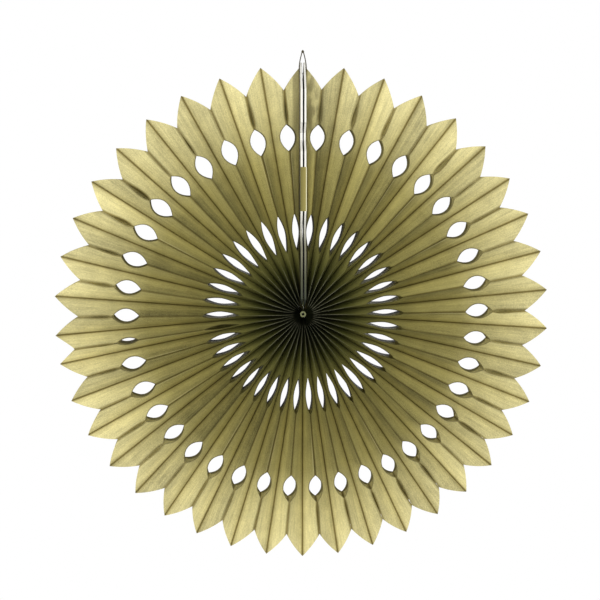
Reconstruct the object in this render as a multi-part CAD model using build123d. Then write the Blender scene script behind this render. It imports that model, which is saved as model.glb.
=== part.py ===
from build123d import *
import os
from math import atan2, cos, degrees, hypot, pi, radians, sin, sqrt, tan

# Paper fan medallion: 40 hollow tissue petals round a tied hub, closed at the top by two end cards.
# Millimetres and degrees. The front looks along -Y, +Z is up, the origin is the middle of the hub.

# Fan
PETALS = 40
TIP_RADIUS = 200.0
POINT_LENGTH = 19.5
PETAL_EDGE_BULGE = 0.6
RIM_RISE = 4.0
GLUE_WIDTH = 1.8
WALL = 0.25

# How unevenly the petals have opened: the lower ones hang closer together, and one is pinched
SAG_SHIFT = 3.8
PINCHED_PETAL = 30
PINCH = 2.4
PINCH_REACH = 10

# Cut-outs in each long edge of a leaf, as measured on the flat leaf
CUT_DEPTH = 9.6
EYE_FROM_NOTCH = 38.1
EYE_LENGTH = 22.8
EYE_SHOULDER_WIDTH = 0.96
EYE_SHOULDER_HEIGHT = 0.22
SLOT_RADIUS = 66.4
SLOT_LENGTH = 31.8
SLOT_CLEARANCE = 0.3
CREASE_SHARE = 0.7

# Hub: bore between the inner ends of the leaves, which widens to its two mouths
HUB_RADIUS = 2.2
HUB_NECK = 16.0
HUB_MOUTH_RADIUS = 9.0
PRESSED_WALLS = 4.0

# End cards and the paper band that closes them
CARD_THICKNESS = 1.6
CARD_GAP = 1.2
CARD_OVERHANG = 1.5
CARD_INNER_RADIUS = 6.0
BAND_LENGTH = 35.0
BAND_LEG = 4.0
BAND_THICKNESS = 0.3
BAND_CLEARANCE = 1.0

# Threads
TIE_DIAMETER = 1.3
TIE_STRAND = 0.5
TIE_SIDES = 12
TIE_RING_RADIUS = 1.8
TIE_CLEARANCE = 0.05
THREAD_DIAMETER = 0.8
THREAD_SIDES = 6
THREAD_EXIT_RADIUS = 1.1
KNOT_WIDTH = 2.3
KNOT_HEIGHT = 2.4
THREAD_CLEARANCE = 0.25
THREAD_HOLE = 1.6
THREAD_HOLE_DROP = 9.0
THREAD_HOLE_FORWARD = 4.0

# Room that the cutting shapes are given past what they cut
MARGIN = 1.0


def crease_angle(index):
    """Angle of a glue line, clockwise from the seam at the top."""
    even = 360.0 * index / PETALS
    sag = SAG_SHIFT * sin(radians(even))
    near = max(0, 1 - abs(index - PINCHED_PETAL) / PINCH_REACH)
    pinch = PINCH / 2 * near if index < PINCHED_PETAL else -PINCH / 2 * near
    return even + sag + pinch


def half_pitch(index):
    """Half the angle that one petal opens to, in radians."""
    return radians(crease_angle(index + 1) - crease_angle(index)) / 2


NOTCH_RADIUS = TIP_RADIUS - POINT_LENGTH
EYE_RADIUS = NOTCH_RADIUS - EYE_FROM_NOTCH
WIDEST = max(half_pitch(i) for i in range(PETALS))
NARROWEST = min(half_pitch(i) for i in range(PETALS))
PANEL = hypot(TIP_RADIUS * sin(WIDEST), RIM_RISE)
GLUE_HALF = GLUE_WIDTH / 2
LEAF_HALF = GLUE_HALF + PANEL
SEAM_HALF = CARD_GAP / 2 + CARD_THICKNESS
CARD_TIP = TIP_RADIUS + CARD_OVERHANG
CUT_REACH = LEAF_HALF + MARGIN
TOP_REACH = CARD_TIP + MARGIN

# Radii at which the panels of a petal are creased across, clear of the cut-outs
PRESSED_RADIUS = PRESSED_WALLS * WALL / sin(NARROWEST)
SLOT_INNER = SLOT_RADIUS - SLOT_LENGTH / 2
SLOT_OUTER = SLOT_RADIUS + SLOT_LENGTH / 2
EYE_INNER = EYE_RADIUS - EYE_LENGTH / 2
EYE_OUTER = EYE_RADIUS + EYE_LENGTH / 2
BEFORE_SLOT = SLOT_INNER - SLOT_CLEARANCE
BETWEEN_CUTS = SLOT_OUTER + CREASE_SHARE * (EYE_INNER - SLOT_OUTER)
PAST_EYE = (EYE_OUTER + NOTCH_RADIUS) / 2
HOLLOW_RADII = (PRESSED_RADIUS, BEFORE_SLOT, BETWEEN_CUTS, PAST_EYE, TIP_RADIUS + MARGIN)
SECTION_RADII = (HUB_RADIUS / 2, *HOLLOW_RADII)


# Sections of one petal, which stands on the Z axis with its ridges in the YZ plane
def section(radius, phi, half_width, side, ridge):
    """Six corners of a petal's section: its glued sides and its two ridges."""
    height = radius * cos(phi)
    right = [(half_width, -side, height), (half_width, side, height), (0, ridge, height)]
    left = [(-half_width, side, height), (-half_width, -side, height), (0, -ridge, height)]
    return right + left


def outer_section(radius, phi):
    """Section over the outside of the tissue."""
    half_width = radius * sin(phi)
    return section(radius, phi, half_width, GLUE_HALF, GLUE_HALF + sqrt(PANEL**2 - half_width**2))


def inner_section(radius, phi):
    """Section of the hollow, one wall inside the outer one."""
    half_width = radius * sin(phi)
    rise = sqrt(PANEL**2 - half_width**2)
    slope = rise / half_width
    side = GLUE_HALF - WALL * (hypot(slope, 1) - slope)
    ridge = GLUE_HALF + rise - WALL * hypot(slope, 1)
    return section(radius, phi, half_width - WALL, side, ridge)


def folded(sections):
    """Solid of flat panels between the sections; the crease of each panel runs clear of the cut-outs."""
    faces = [Face(Wire.make_polygon(sections[0])), Face(Wire.make_polygon(sections[-1]))]
    for low, high in zip(sections, sections[1:]):
        outward = low is not sections[-3]
        for a, b in ((0, 1), (3, 4)):
            faces.append(Face(Wire.make_polygon([low[a], low[b], high[b], high[a]])))
        for glued, ridge in ((1, 2), (3, 2), (4, 5), (0, 5)):
            start, end = (low[glued], high[ridge]) if outward else (high[glued], low[ridge])
            faces.append(Face(Wire.make_polygon([start, end, low[ridge] if outward else high[ridge]])))
            faces.append(Face(Wire.make_polygon([start, end, high[glued] if outward else low[glued]])))
    return Solid(Shell(faces))


# Cut-outs
def eye(half_length, half_waist):
    """Eye-shaped cut-out: straight sides from its two points to the shoulders of a blunt waist."""
    x = half_waist * EYE_SHOULDER_WIDTH
    y = half_length * EYE_SHOULDER_HEIGHT
    return make_face(Polyline((0, half_length), (x, y), (x, -y), (0, -half_length), (-x, -y), (-x, y), close=True))


def slot(half_length, half_waist):
    """Slender pointed cut-out."""
    return make_face(Polyline((0, half_length), (half_waist, 0), (0, -half_length), (-half_waist, 0), close=True))


def opened(radius, phi):
    """Half width that a cut-out of the flat leaf has where the petal is opened."""
    return CUT_DEPTH * radius * sin(phi) / PANEL


def bulge(shoulder, tip):
    """Highest point of the convex edge from a notch to a petal's tip."""
    run = tip[0] - shoulder[0]
    rise = tip[1] - shoulder[1]
    share = PETAL_EDGE_BULGE / hypot(run, rise)
    return (shoulder[0] + run / 2 - share * rise, shoulder[1] + rise / 2 + share * run)


def outside_petal(phi):
    """Region past the notch, between two half petals."""
    notch = (0, NOTCH_RADIUS)
    tip = (TIP_RADIUS * sin(phi), TIP_RADIUS * cos(phi))
    knee = bulge(notch, tip)
    past = (2 * tip[0] - knee[0], 2 * tip[1] - knee[1])
    top = past[1] + MARGIN
    right = [knee, past, (past[0], top)]
    left = [(-x, z) for x, z in reversed(right)]
    return make_face(Polyline(notch, *right, *left, close=True))


def hub_side(bore):
    """Depth and radius along the hub's hollow, from its neck to past the leaf's edge."""
    neck = HUB_NECK / 2
    taper = (HUB_MOUTH_RADIUS - HUB_RADIUS) / (LEAF_HALF - neck)
    return [(neck, bore), (CUT_REACH, bore + taper * (CUT_REACH - neck))]


def both_sides(side):
    """A depth and radius line carried over to the rear half."""
    return [*reversed(side), *[(-y, r) for y, r in side]]


def hub_hollow(phi):
    """One petal's share of the hub's hollow."""
    side = [(y, r * cos(phi)) for y, r in hub_side(HUB_RADIUS)]
    outline = Polyline((CUT_REACH, 0), *both_sides(side), (-CUT_REACH, 0), close=True)
    return extrude(Plane.YZ * make_face(outline), HUB_MOUTH_RADIUS, both=True)


def seam_room():
    """Space that the two end cards take out of the petals beside the seam."""
    side = both_sides(hub_side(CARD_INNER_RADIUS))
    outline = Polyline((CUT_REACH, TOP_REACH), *side, (-CUT_REACH, TOP_REACH), close=True)
    return extrude(Plane.YZ * make_face(outline), SEAM_HALF, both=True)


# The tissue body
def petal(index):
    """One hollow petal, standing on the Z axis."""
    phi = half_pitch(index)
    blank = folded([outer_section(r, phi) for r in SECTION_RADII])
    hollow = folded([inner_section(r, phi) for r in HOLLOW_RADII])
    eye_cut = Pos(0, EYE_RADIUS) * eye(EYE_LENGTH / 2, opened(EYE_RADIUS, phi))
    slot_cut = Pos(0, SLOT_RADIUS) * slot(SLOT_LENGTH / 2, opened(SLOT_RADIUS, phi))
    dies = [extrude(Plane.XZ * cut, CUT_REACH, both=True) for cut in (eye_cut, slot_cut, outside_petal(phi))]
    return blank - [hollow, *dies, hub_hollow(phi)]


def on_glue_line(face, angle):
    """Whether a face lies in the plane where two petals are glued."""
    across = Vector(cos(radians(angle)), 0, -sin(radians(angle)))
    flat = abs(abs(face.normal_at().dot(across)) - 1) < 1e-6
    return flat and abs(face.center().dot(across)) < 1e-4


def tissue_petals():
    """All petals, joined where they are glued."""
    room = seam_room()
    seam_angle = degrees(atan2(SEAM_HALF, CARD_INNER_RADIUS))
    faces = []
    for index in range(PETALS):
        left = crease_angle(index)
        right = crease_angle(index + 1)
        body = Rot(0, (left + right) / 2, 0) * petal(index)
        if min(left, 360 - right) < seam_angle:
            body = body - room
        faces += [f for f in body.faces() if not on_glue_line(f, left) and not on_glue_line(f, right)]
    return Solid(Shell(faces))


# End cards, cut with the same dies as the leaves
def card_face():
    """Flat outline of an end card in depth and height, with its cut-outs and the thread's hole."""
    neck = HUB_NECK / 2
    inner = CARD_INNER_RADIUS + HUB_MOUTH_RADIUS - HUB_RADIUS
    shoulder = (-LEAF_HALF, NOTCH_RADIUS)
    left = [(-neck, CARD_INNER_RADIUS), (-LEAF_HALF, inner), shoulder, bulge(shoulder, (0, CARD_TIP))]
    right = [(-y, z) for y, z in reversed(left)]
    face = Sketch() + make_face(Polyline(*left, (0, CARD_TIP), *right, close=True))
    for edge in (-LEAF_HALF, LEAF_HALF):
        face -= Pos(edge, EYE_RADIUS) * eye(EYE_LENGTH / 2, CUT_DEPTH)
        face -= Pos(edge, SLOT_RADIUS) * slot(SLOT_LENGTH / 2, CUT_DEPTH)
    return face - Pos(-THREAD_HOLE_FORWARD, CARD_TIP - THREAD_HOLE_DROP) * RegularPolygon(THREAD_HOLE / 2, 6)


def end_card_right():
    """Card on the right of the seam."""
    return Pos(CARD_GAP / 2, 0, 0) * extrude(Plane.YZ * card_face(), CARD_THICKNESS)


def closing_band():
    """Paper strip folded over the front edges of both cards, between their two cut-outs."""
    front = -LEAF_HALF - BAND_THICKNESS
    rear = BAND_LEG - LEAF_HALF
    wide = SEAM_HALF + BAND_THICKNESS
    right = [(wide, front), (wide, rear), (SEAM_HALF, rear), (SEAM_HALF, -LEAF_HALF)]
    left = [(-x, y) for x, y in reversed(right)]
    strip = extrude(make_face(Polyline(*right, *left, close=True)), BAND_LENGTH)
    return Pos(0, 0, SLOT_OUTER + BAND_CLEARANCE) * strip


# Threads
def centre_tie():
    """Thread through the hub, wound in a ring at each mouth and seated on the leaves' ends."""
    outer = TIE_RING_RADIUS + TIE_DIAMETER / 2
    taper = (HUB_MOUTH_RADIUS - HUB_RADIUS) / (LEAF_HALF - HUB_NECK / 2)
    seat = HUB_NECK / 2 + (outer / cos(WIDEST) + TIE_CLEARANCE - HUB_RADIUS) / taper
    ring = RegularPolygon(outer, TIE_SIDES) - RegularPolygon(outer - TIE_DIAMETER, TIE_SIDES)
    strand = RegularPolygon(TIE_STRAND / 2, THREAD_SIDES)
    tie = []
    for side in (-1, 1):
        tie.append(Rot(90 * side, 0, 0) * Pos(0, 0, seat) * extrude(ring, TIE_DIAMETER))
        tie.append(Rot(90, 0, 0) * Pos(side * TIE_RING_RADIUS, 0, 0) * extrude(strand, seat, both=True))
    return Part() + tie


def thread_route():
    """Corners of the hanging thread, from the knot through both cards and back to the knot."""
    beside = SEAM_HALF + THREAD_DIAMETER / 2 + THREAD_CLEARANCE
    half = [(-THREAD_DIAMETER / 2 - 0.02, 0, 17.5), (-beside, 0, 9), (-beside, 0, 0)]
    other = [(-x, y, z) for x, y, z in reversed(half)]
    hole = Vector(0, -THREAD_HOLE_FORWARD, CARD_TIP - THREAD_HOLE_DROP)
    return [hole + Vector(point) for point in half + other]


def corner_radii(route):
    """Largest radius at each corner that leaves a tenth of the shorter run straight."""
    radii = []
    for before, corner, after in zip(route, route[1:], route[2:]):
        turn = radians((corner - before).get_angle(after - corner))
        shorter = min((corner - before).length, (after - corner).length)
        radii.append(0.45 * shorter / tan(turn / 2))
    return radii


def hanging_thread():
    """Thread through the holes of both cards, with its ends knotted together over the seam."""
    route = thread_route()
    radii = corner_radii(route)
    radii[1:3] = [THREAD_EXIT_RADIUS] * 2
    path = FilletPolyline(*route, radius=radii)
    section = RegularPolygon(THREAD_DIAMETER / 2, THREAD_SIDES)
    tube = sweep(Plane(path @ 0, z_dir=path % 0) * section, path=path)
    print("thread radii", [round(r, 1) for r in radii], "length", round(path.length, 1))
    print("thread volume over section times length", round(tube.volume / (section.area * path.length), 4))
    middle = (route[0] + route[-1]) / 2
    return tube + Pos(middle) * extrude(RegularPolygon(KNOT_WIDTH / 2, 6), KNOT_HEIGHT / 2, both=True)


card_right = end_card_right()
nodes = {
    "tissue_petals": tissue_petals(),
    "end_card_right": card_right,
    "end_card_left": mirror(card_right, about=Plane.YZ),
    "closing_band": closing_band(),
    "centre_tie": centre_tie(),
    "hanging_thread": hanging_thread(),
}
os.makedirs("parts", exist_ok=True)
for name, solid in nodes.items():
    export_step(solid, f"parts/{name}.step")
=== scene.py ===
"""Paper fan medallion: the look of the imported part, in the part's own frame and in metres."""

import logging
from dataclasses import dataclass, field, replace
from enum import Enum
from math import cos, hypot, pi, radians, sin
from typing import Optional, Union

import bpy
import numpy as np
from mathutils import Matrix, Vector


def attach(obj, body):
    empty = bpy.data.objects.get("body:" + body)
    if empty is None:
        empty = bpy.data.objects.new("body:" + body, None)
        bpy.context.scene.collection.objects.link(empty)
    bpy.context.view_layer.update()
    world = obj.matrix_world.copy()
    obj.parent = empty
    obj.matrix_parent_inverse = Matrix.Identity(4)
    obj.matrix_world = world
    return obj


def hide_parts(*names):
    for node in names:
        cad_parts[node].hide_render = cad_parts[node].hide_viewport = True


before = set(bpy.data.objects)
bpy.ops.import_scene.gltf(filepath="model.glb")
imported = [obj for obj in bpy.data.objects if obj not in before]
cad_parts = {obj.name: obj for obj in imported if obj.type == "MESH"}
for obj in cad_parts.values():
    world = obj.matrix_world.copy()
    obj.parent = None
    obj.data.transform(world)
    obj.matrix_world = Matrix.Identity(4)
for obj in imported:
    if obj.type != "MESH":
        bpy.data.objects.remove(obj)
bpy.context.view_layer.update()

log = logging.getLogger("paper_fan")

Socket = bpy.types.NodeSocket
Value = Union[Socket, float]
Colour = tuple[float, float, float, float]
Point = tuple[float, float, float]
Span = tuple[float, float]
Noise = tuple[float, float]
Stops = tuple[tuple[float, Colour], ...]

WHITE: Colour = (1.0, 1.0, 1.0, 1.0)
PANELS_A_PETAL = 4
FIRST_REAR_PANEL = 2


def linear(red: int, green: int, blue: int) -> Colour:
    """Turn an 8-bit display colour into the linear one that shaders take, by the sRGB formula."""
    parts = [c / 255 for c in (red, green, blue)]
    return (*[c / 12.92 if c <= 0.04045 else ((c + 0.055) / 1.055) ** 2.4 for c in parts], 1.0)


@dataclass(frozen=True)
class FanSizes:
    """Sizes of the fan in metres and radians.

    They are those of the part's source, apart from the cut-outs, the points and the hub, which are finer
    here, and from the tissue's clearance beside the cards.
    """

    petals: int = 40
    tip_radius: float = 0.2000
    notch_radius: float = 0.1796
    edge_bulge: float = 0.0010
    rim_rise: float = 0.0040
    glue_half: float = 0.0009
    sag: float = radians(3.8)
    pinched_petal: int = 30
    pinch: float = radians(2.4)
    pinch_reach: int = 10
    cut_depth: float = 0.0089
    eye_radius: float = 0.1424
    eye_length: float = 0.0222
    slot_radius: float = 0.0664
    slot_length: float = 0.0318
    hub_radius: float = 0.0008
    hub_neck: float = 0.0160
    hub_mouth: float = 0.0090
    seam_half: float = 0.0022
    seam_clearance: float = 0.00015
    seam_foot: float = 0.0058

    def crease(self, index: int) -> float:
        """Angle of a glue line, clockwise from the seam.

        Args:
            index: Number of the glue line.

        Returns:
            The angle in radians.
        """
        even = 2 * pi * index / self.petals
        near = max(0.0, 1 - abs(index - self.pinched_petal) / self.pinch_reach)
        pinch = self.pinch / 2 * near if index < self.pinched_petal else -self.pinch / 2 * near
        return even + self.sag * sin(even) + pinch

    @property
    def half_pitches(self) -> list[float]:
        """Half the angle of each petal."""
        return [(self.crease(i + 1) - self.crease(i)) / 2 for i in range(self.petals)]

    @property
    def panel(self) -> float:
        """Width of a flat panel from its glue line to its ridge."""
        return hypot(self.tip_radius * sin(max(self.half_pitches)), self.rim_rise)

    @property
    def leaf_half(self) -> float:
        """Half the depth of the fan at the hub."""
        return self.glue_half + self.panel

    @property
    def eye_out(self) -> float:
        """Distance from the hub of the eye's outer end."""
        return self.eye_radius + self.eye_length / 2


class NodeMath:
    """Writes formulas into a node tree."""

    FIRST_COLOUR = 6
    SECOND_COLOUR = 7
    MIXED_COLOUR = 2

    def __init__(self, tree: bpy.types.NodeTree) -> None:
        """Keep the tree that the formulas go into."""
        self.tree = tree

    def new(self, kind: str, **settings: object) -> bpy.types.Node:
        """Add a node.

        Args:
            kind: Node type.
            settings: Properties to set on it.

        Returns:
            The node.
        """
        node = self.tree.nodes.new(kind)
        for name, value in settings.items():
            setattr(node, name, value)
        return node

    def put(self, socket: Socket, value: object) -> None:
        """Link a socket to another or set its value.

        Args:
            socket: Input socket.
            value: What goes in.
        """
        if isinstance(value, Socket):
            self.tree.links.new(value, socket)
        else:
            socket.default_value = value

    def do(self, operation: str, *values: Value) -> Socket:
        """Add a math node.

        Args:
            operation: Name of the operation.
            values: Its inputs in order.

        Returns:
            The result.
        """
        node = self.new("ShaderNodeMath", operation=operation)
        for socket, value in zip(node.inputs, values):
            self.put(socket, value)
        return node.outputs[0]

    def add(self, a: Value, b: Value) -> Socket:
        """Sum of two values."""
        return self.do("ADD", a, b)

    def sub(self, a: Value, b: Value) -> Socket:
        """Difference of two values."""
        return self.do("SUBTRACT", a, b)

    def mul(self, a: Value, b: Value) -> Socket:
        """Product of two values."""
        return self.do("MULTIPLY", a, b)

    def split(self, vector: Socket) -> tuple[Socket, Socket, Socket]:
        """Take a vector apart.

        Args:
            vector: The vector.

        Returns:
            Its three coordinates.
        """
        node = self.new("ShaderNodeSeparateXYZ")
        self.put(node.inputs[0], vector)
        return tuple(node.outputs)

    def join(self, x: Value, y: Value, z: Value) -> Socket:
        """Put a vector together.

        Args:
            x: First coordinate.
            y: Second coordinate.
            z: Third coordinate.

        Returns:
            The vector.
        """
        node = self.new("ShaderNodeCombineXYZ")
        for socket, value in zip(node.inputs, (x, y, z)):
            self.put(socket, value)
        return node.outputs[0]

    def ramp(self, value: Socket, span: Span) -> Socket:
        """Smooth step upwards.

        Args:
            value: What is stepped.
            span: Where the step starts and ends.

        Returns:
            0 before the span, 1 after it.
        """
        node = self.new("ShaderNodeMapRange", interpolation_type="SMOOTHSTEP")
        for socket, given in zip(node.inputs, (value, *span, 0.0, 1.0)):
            self.put(socket, given)
        return node.outputs[0]

    def fall(self, value: Socket, span: Span) -> Socket:
        """Smooth step downwards, 1 before a span and 0 after it."""
        return self.sub(1.0, self.ramp(value, span))

    def noise(self, where: Socket, scale: float, detail: float) -> Socket:
        """Noise from about -0.5 to 0.5.

        Args:
            where: Coordinates.
            scale: Scale of the noise.
            detail: Its octaves.

        Returns:
            The noise.
        """
        node = self.new("ShaderNodeTexNoise")
        self.put(node.inputs["Vector"], where)
        self.put(node.inputs["Scale"], scale)
        self.put(node.inputs["Detail"], detail)
        return self.sub(node.outputs[0], 0.5)

    def chance(self, number: Socket) -> Socket:
        """Random value that belongs to a number.

        Args:
            number: The number.

        Returns:
            A value from 0 to 1, always the same for the same number.
        """
        node = self.new("ShaderNodeTexWhiteNoise", noise_dimensions="1D")
        self.put(node.inputs["W"], number)
        return node.outputs["Value"]

    def grey(self, level: Socket) -> Socket:
        """Grey of one level.

        Args:
            level: The level.

        Returns:
            The colour.
        """
        node = self.new("ShaderNodeCombineColor")
        for socket in node.inputs:
            self.put(socket, level)
        return node.outputs[0]

    def blend(self, share: Value, a: object, b: object, kind: str = "MIX") -> Socket:
        """Mix two colours.

        Args:
            share: Share of the second colour.
            a: First colour.
            b: Second colour.
            kind: How they are mixed.

        Returns:
            The mixed colour.
        """
        node = self.new("ShaderNodeMix", data_type="RGBA", blend_type=kind)
        self.put(node.inputs["Factor"], share)
        self.put(node.inputs[self.FIRST_COLOUR], a)
        self.put(node.inputs[self.SECOND_COLOUR], b)
        return node.outputs[self.MIXED_COLOUR]

    def gradient(self, value: Socket, low: float, stops: Stops) -> Socket:
        """Colours that follow a value.

        Args:
            value: The value.
            low: Value at which the gradient begins.
            stops: Values and their colours, up to the one at which the gradient ends.

        Returns:
            The colour.
        """
        length = stops[-1][0] - low
        ramp = self.new("ShaderNodeValToRGB")
        elements = ramp.color_ramp.elements
        while len(elements) < len(stops):
            elements.new(0.5)
        for element, (place, colour) in zip(elements, stops):
            element.position = (place - low) / length
            element.color = colour
        self.put(ramp.inputs[0], self.mul(self.sub(value, low), 1 / length))
        return ramp.outputs[0]


def new_material(name: str) -> tuple[bpy.types.Material, NodeMath]:
    """Add a material with an empty node tree.

    Args:
        name: Name of the material.

    Returns:
        The material, and what writes into its tree.
    """
    material = bpy.data.materials.new(name)
    material.use_nodes = True
    material.node_tree.nodes.clear()
    return material, NodeMath(material.node_tree)


def add_object(name: str, data: bpy.types.ID) -> bpy.types.Object:
    """Add an object to the scene, at the origin and unturned.

    Args:
        name: Name of the object.
        data: Its mesh, curve, lamp or camera.

    Returns:
        The object.
    """
    made = bpy.data.objects.new(name, data)
    bpy.context.scene.collection.objects.link(made)
    return made


class LeafPattern:
    """Half of a flat leaf from its glue line to its fold, as the dies cut it.

    A vertex holds the share of the way from glue line to fold in X, one on the middle of the glue line in Y,
    and the distance from the hub in Z.
    """

    COLUMNS = 10
    HUB_ROWS = 9
    SLOT_ROWS = 12
    MIDDLE_ROWS = 9
    EYE_ROWS = 14
    RIM_ROWS = 10
    RIM_WIDTH = 0.0044
    UNCUT_SHARE = 0.999
    EYE_POWER = 2.1
    SLOT_POWER = 1.7

    def __init__(self, sizes: FanSizes) -> None:
        """Keep the fan's sizes, and the shares along a row that isn't cut."""
        self.sizes = sizes
        self.whole = np.linspace(0, 1, self.COLUMNS + 1)

    def depth(self, along: float, length: float, power: float) -> float:
        """Depth of a pointed cut-out from the fold, at a distance along from its middle."""
        share = 2 * abs(along) / length
        return self.sizes.cut_depth * (1 - share ** power)

    def rim(self, share: np.ndarray) -> np.ndarray:
        """Distance from the hub at which the leaf ends.

        Args:
            share: Shares of the way from glue line to fold.

        Returns:
            The distance for each share, on a convex edge from notch to tip.
        """
        s = self.sizes
        phi = pi / s.petals
        notch = np.array([0.0, s.notch_radius])
        tip = s.tip_radius * np.array([sin(phi), cos(phi)])
        chord = tip - notch
        length = float(np.hypot(*chord))
        outward = np.array([-chord[1], chord[0]]) / length
        radius = (length**2 / 4 + s.edge_bulge**2) / (2 * s.edge_bulge)
        centre = (notch + tip) / 2 + outward * (s.edge_bulge - radius)
        ray = np.stack([(1 - share) * sin(phi), np.full_like(share, cos(phi))], axis=1)
        a = (ray**2).sum(axis=1)
        b = ray @ centre
        return (b + np.sqrt(b**2 - a * (centre @ centre - radius**2))) / a

    def hub(self, share: np.ndarray) -> np.ndarray:
        """Distance from the hub at which the leaf begins.

        Args:
            share: Shares of the way from glue line to fold.

        Returns:
            The distance for each share.
        """
        s = self.sizes
        depth = s.glue_half + share * s.panel
        taper = (s.hub_mouth - s.hub_radius) / (s.leaf_half - s.hub_neck / 2)
        return s.hub_radius + taper * np.maximum(depth - s.hub_neck / 2, 0)

    def cut_row(self, distance: float, depth: float) -> tuple[np.ndarray, np.ndarray]:
        """Shares and distances along a row at one distance from the hub, where the fold is cut to a depth."""
        return self.whole * (1 - depth / self.sizes.panel), np.full_like(self.whole, distance)

    def rows(self) -> list[tuple[np.ndarray, np.ndarray]]:
        """Shares and distances of the rows, from the hub to the rim.

        Returns:
            One pair of arrays for each row.
        """
        s, whole = self.sizes, self.whole
        slot_in, slot_out = s.slot_radius - s.slot_length / 2, s.slot_radius + s.slot_length / 2
        eye_in = s.eye_radius - s.eye_length / 2
        rows = []
        for t in np.linspace(0, 1, self.HUB_ROWS, endpoint=False):
            rows.append((whole, self.hub(whole) + (slot_in - self.hub(whole)) * t))
        for r in np.linspace(slot_in, slot_out, self.SLOT_ROWS, endpoint=False):
            rows.append(self.cut_row(r, self.depth(r - s.slot_radius, s.slot_length, self.SLOT_POWER)))
        for r in np.linspace(slot_out, eye_in, self.MIDDLE_ROWS, endpoint=False):
            rows.append(self.cut_row(r, 0.0))
        for t in np.linspace(-1, 1, self.EYE_ROWS, endpoint=False):
            along = s.eye_length / 2 * sin(t * pi / 2)
            rows.append(self.cut_row(s.eye_radius + along, self.depth(along, s.eye_length, self.EYE_POWER)))
        for t in np.linspace(0, 1, self.RIM_ROWS):
            rows.append((whole, s.eye_out + (self.rim(whole) - s.eye_out) * t))
        return rows

    def edge_nearness(self, share: np.ndarray) -> list[float]:
        """How near the points of a row are to the edge of a cut-out.

        Args:
            share: Shares of the way from glue line to fold.

        Returns:
            One on the edge, less inside its rim, and 0 elsewhere and on a row that isn't cut.
        """
        if share[-1] >= self.UNCUT_SHARE:
            return [0.0] * len(share)
        off = (share[-1] - share) * self.sizes.panel / self.RIM_WIDTH
        return [max(0.0, 1 - float(d)) for d in off]

    def build(self) -> bpy.types.Object:
        """Make the pattern's mesh.

        Returns:
            An object that isn't linked to the scene.
        """
        rows = self.rows()
        vertices, rim = [], []
        for share, distance in rows:
            vertices.append((0.0, 1.0, float(distance[0])))
            vertices += [(float(u), 0.0, float(r)) for u, r in zip(share, distance)]
            rim += [0.0] + self.edge_nearness(share)
        width = self.COLUMNS + 2
        faces = []
        for i in range(len(rows) - 1):
            for j in range(width - 1):
                low = i * width + j
                faces.append((low, low + width, low + width + 1, low + 1))
        mesh = bpy.data.meshes.new("leaf_pattern")
        mesh.from_pydata(vertices, [], faces)
        mesh.attributes.new("rim", "FLOAT", "POINT").data.foreach_set("value", rim)
        return bpy.data.objects.new("leaf_pattern", mesh)


@dataclass(frozen=True)
class Uneven:
    """How unevenly the tissue lies, in metres and shares."""

    ridge_sway: float = 0.0010
    sway_stretch: Point = (3.7, 9.1, 14.0)
    lean: float = 0.0009
    lean_reach: float = 0.0160
    buckle: float = 0.0006
    buckle_stretch: Point = (2.3, 0.8, 26.0)
    buckle_aside: float = 0.6
    buckle_out: float = 0.8
    parting: float = 0.0034
    parting_rarity: float = 1.6
    edge_power: float = 3.0
    eye_closed: float = 0.42
    slot_closed: float = 0.35
    slot_closed_rear: float = 0.98
    notch_push: float = 0.0050
    noise_detail: float = 2.0
    seed: int = 4


@dataclass(frozen=True)
class PanelSpot:
    """What the folding formulas know of a place on a panel.

    Attributes:
        number: Number of the panel.
        petal: Number of the petal.
        rear: One on the rear side.
        right: One on the right panel of a ridge.
        share: Share of the way from glue line to ridge.
        middle: One on the middle of the glue line.
        distance: Distance from the hub.
    """

    number: Socket
    petal: Socket
    rear: Socket
    right: Socket
    share: Socket
    middle: Socket
    distance: Socket


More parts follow.
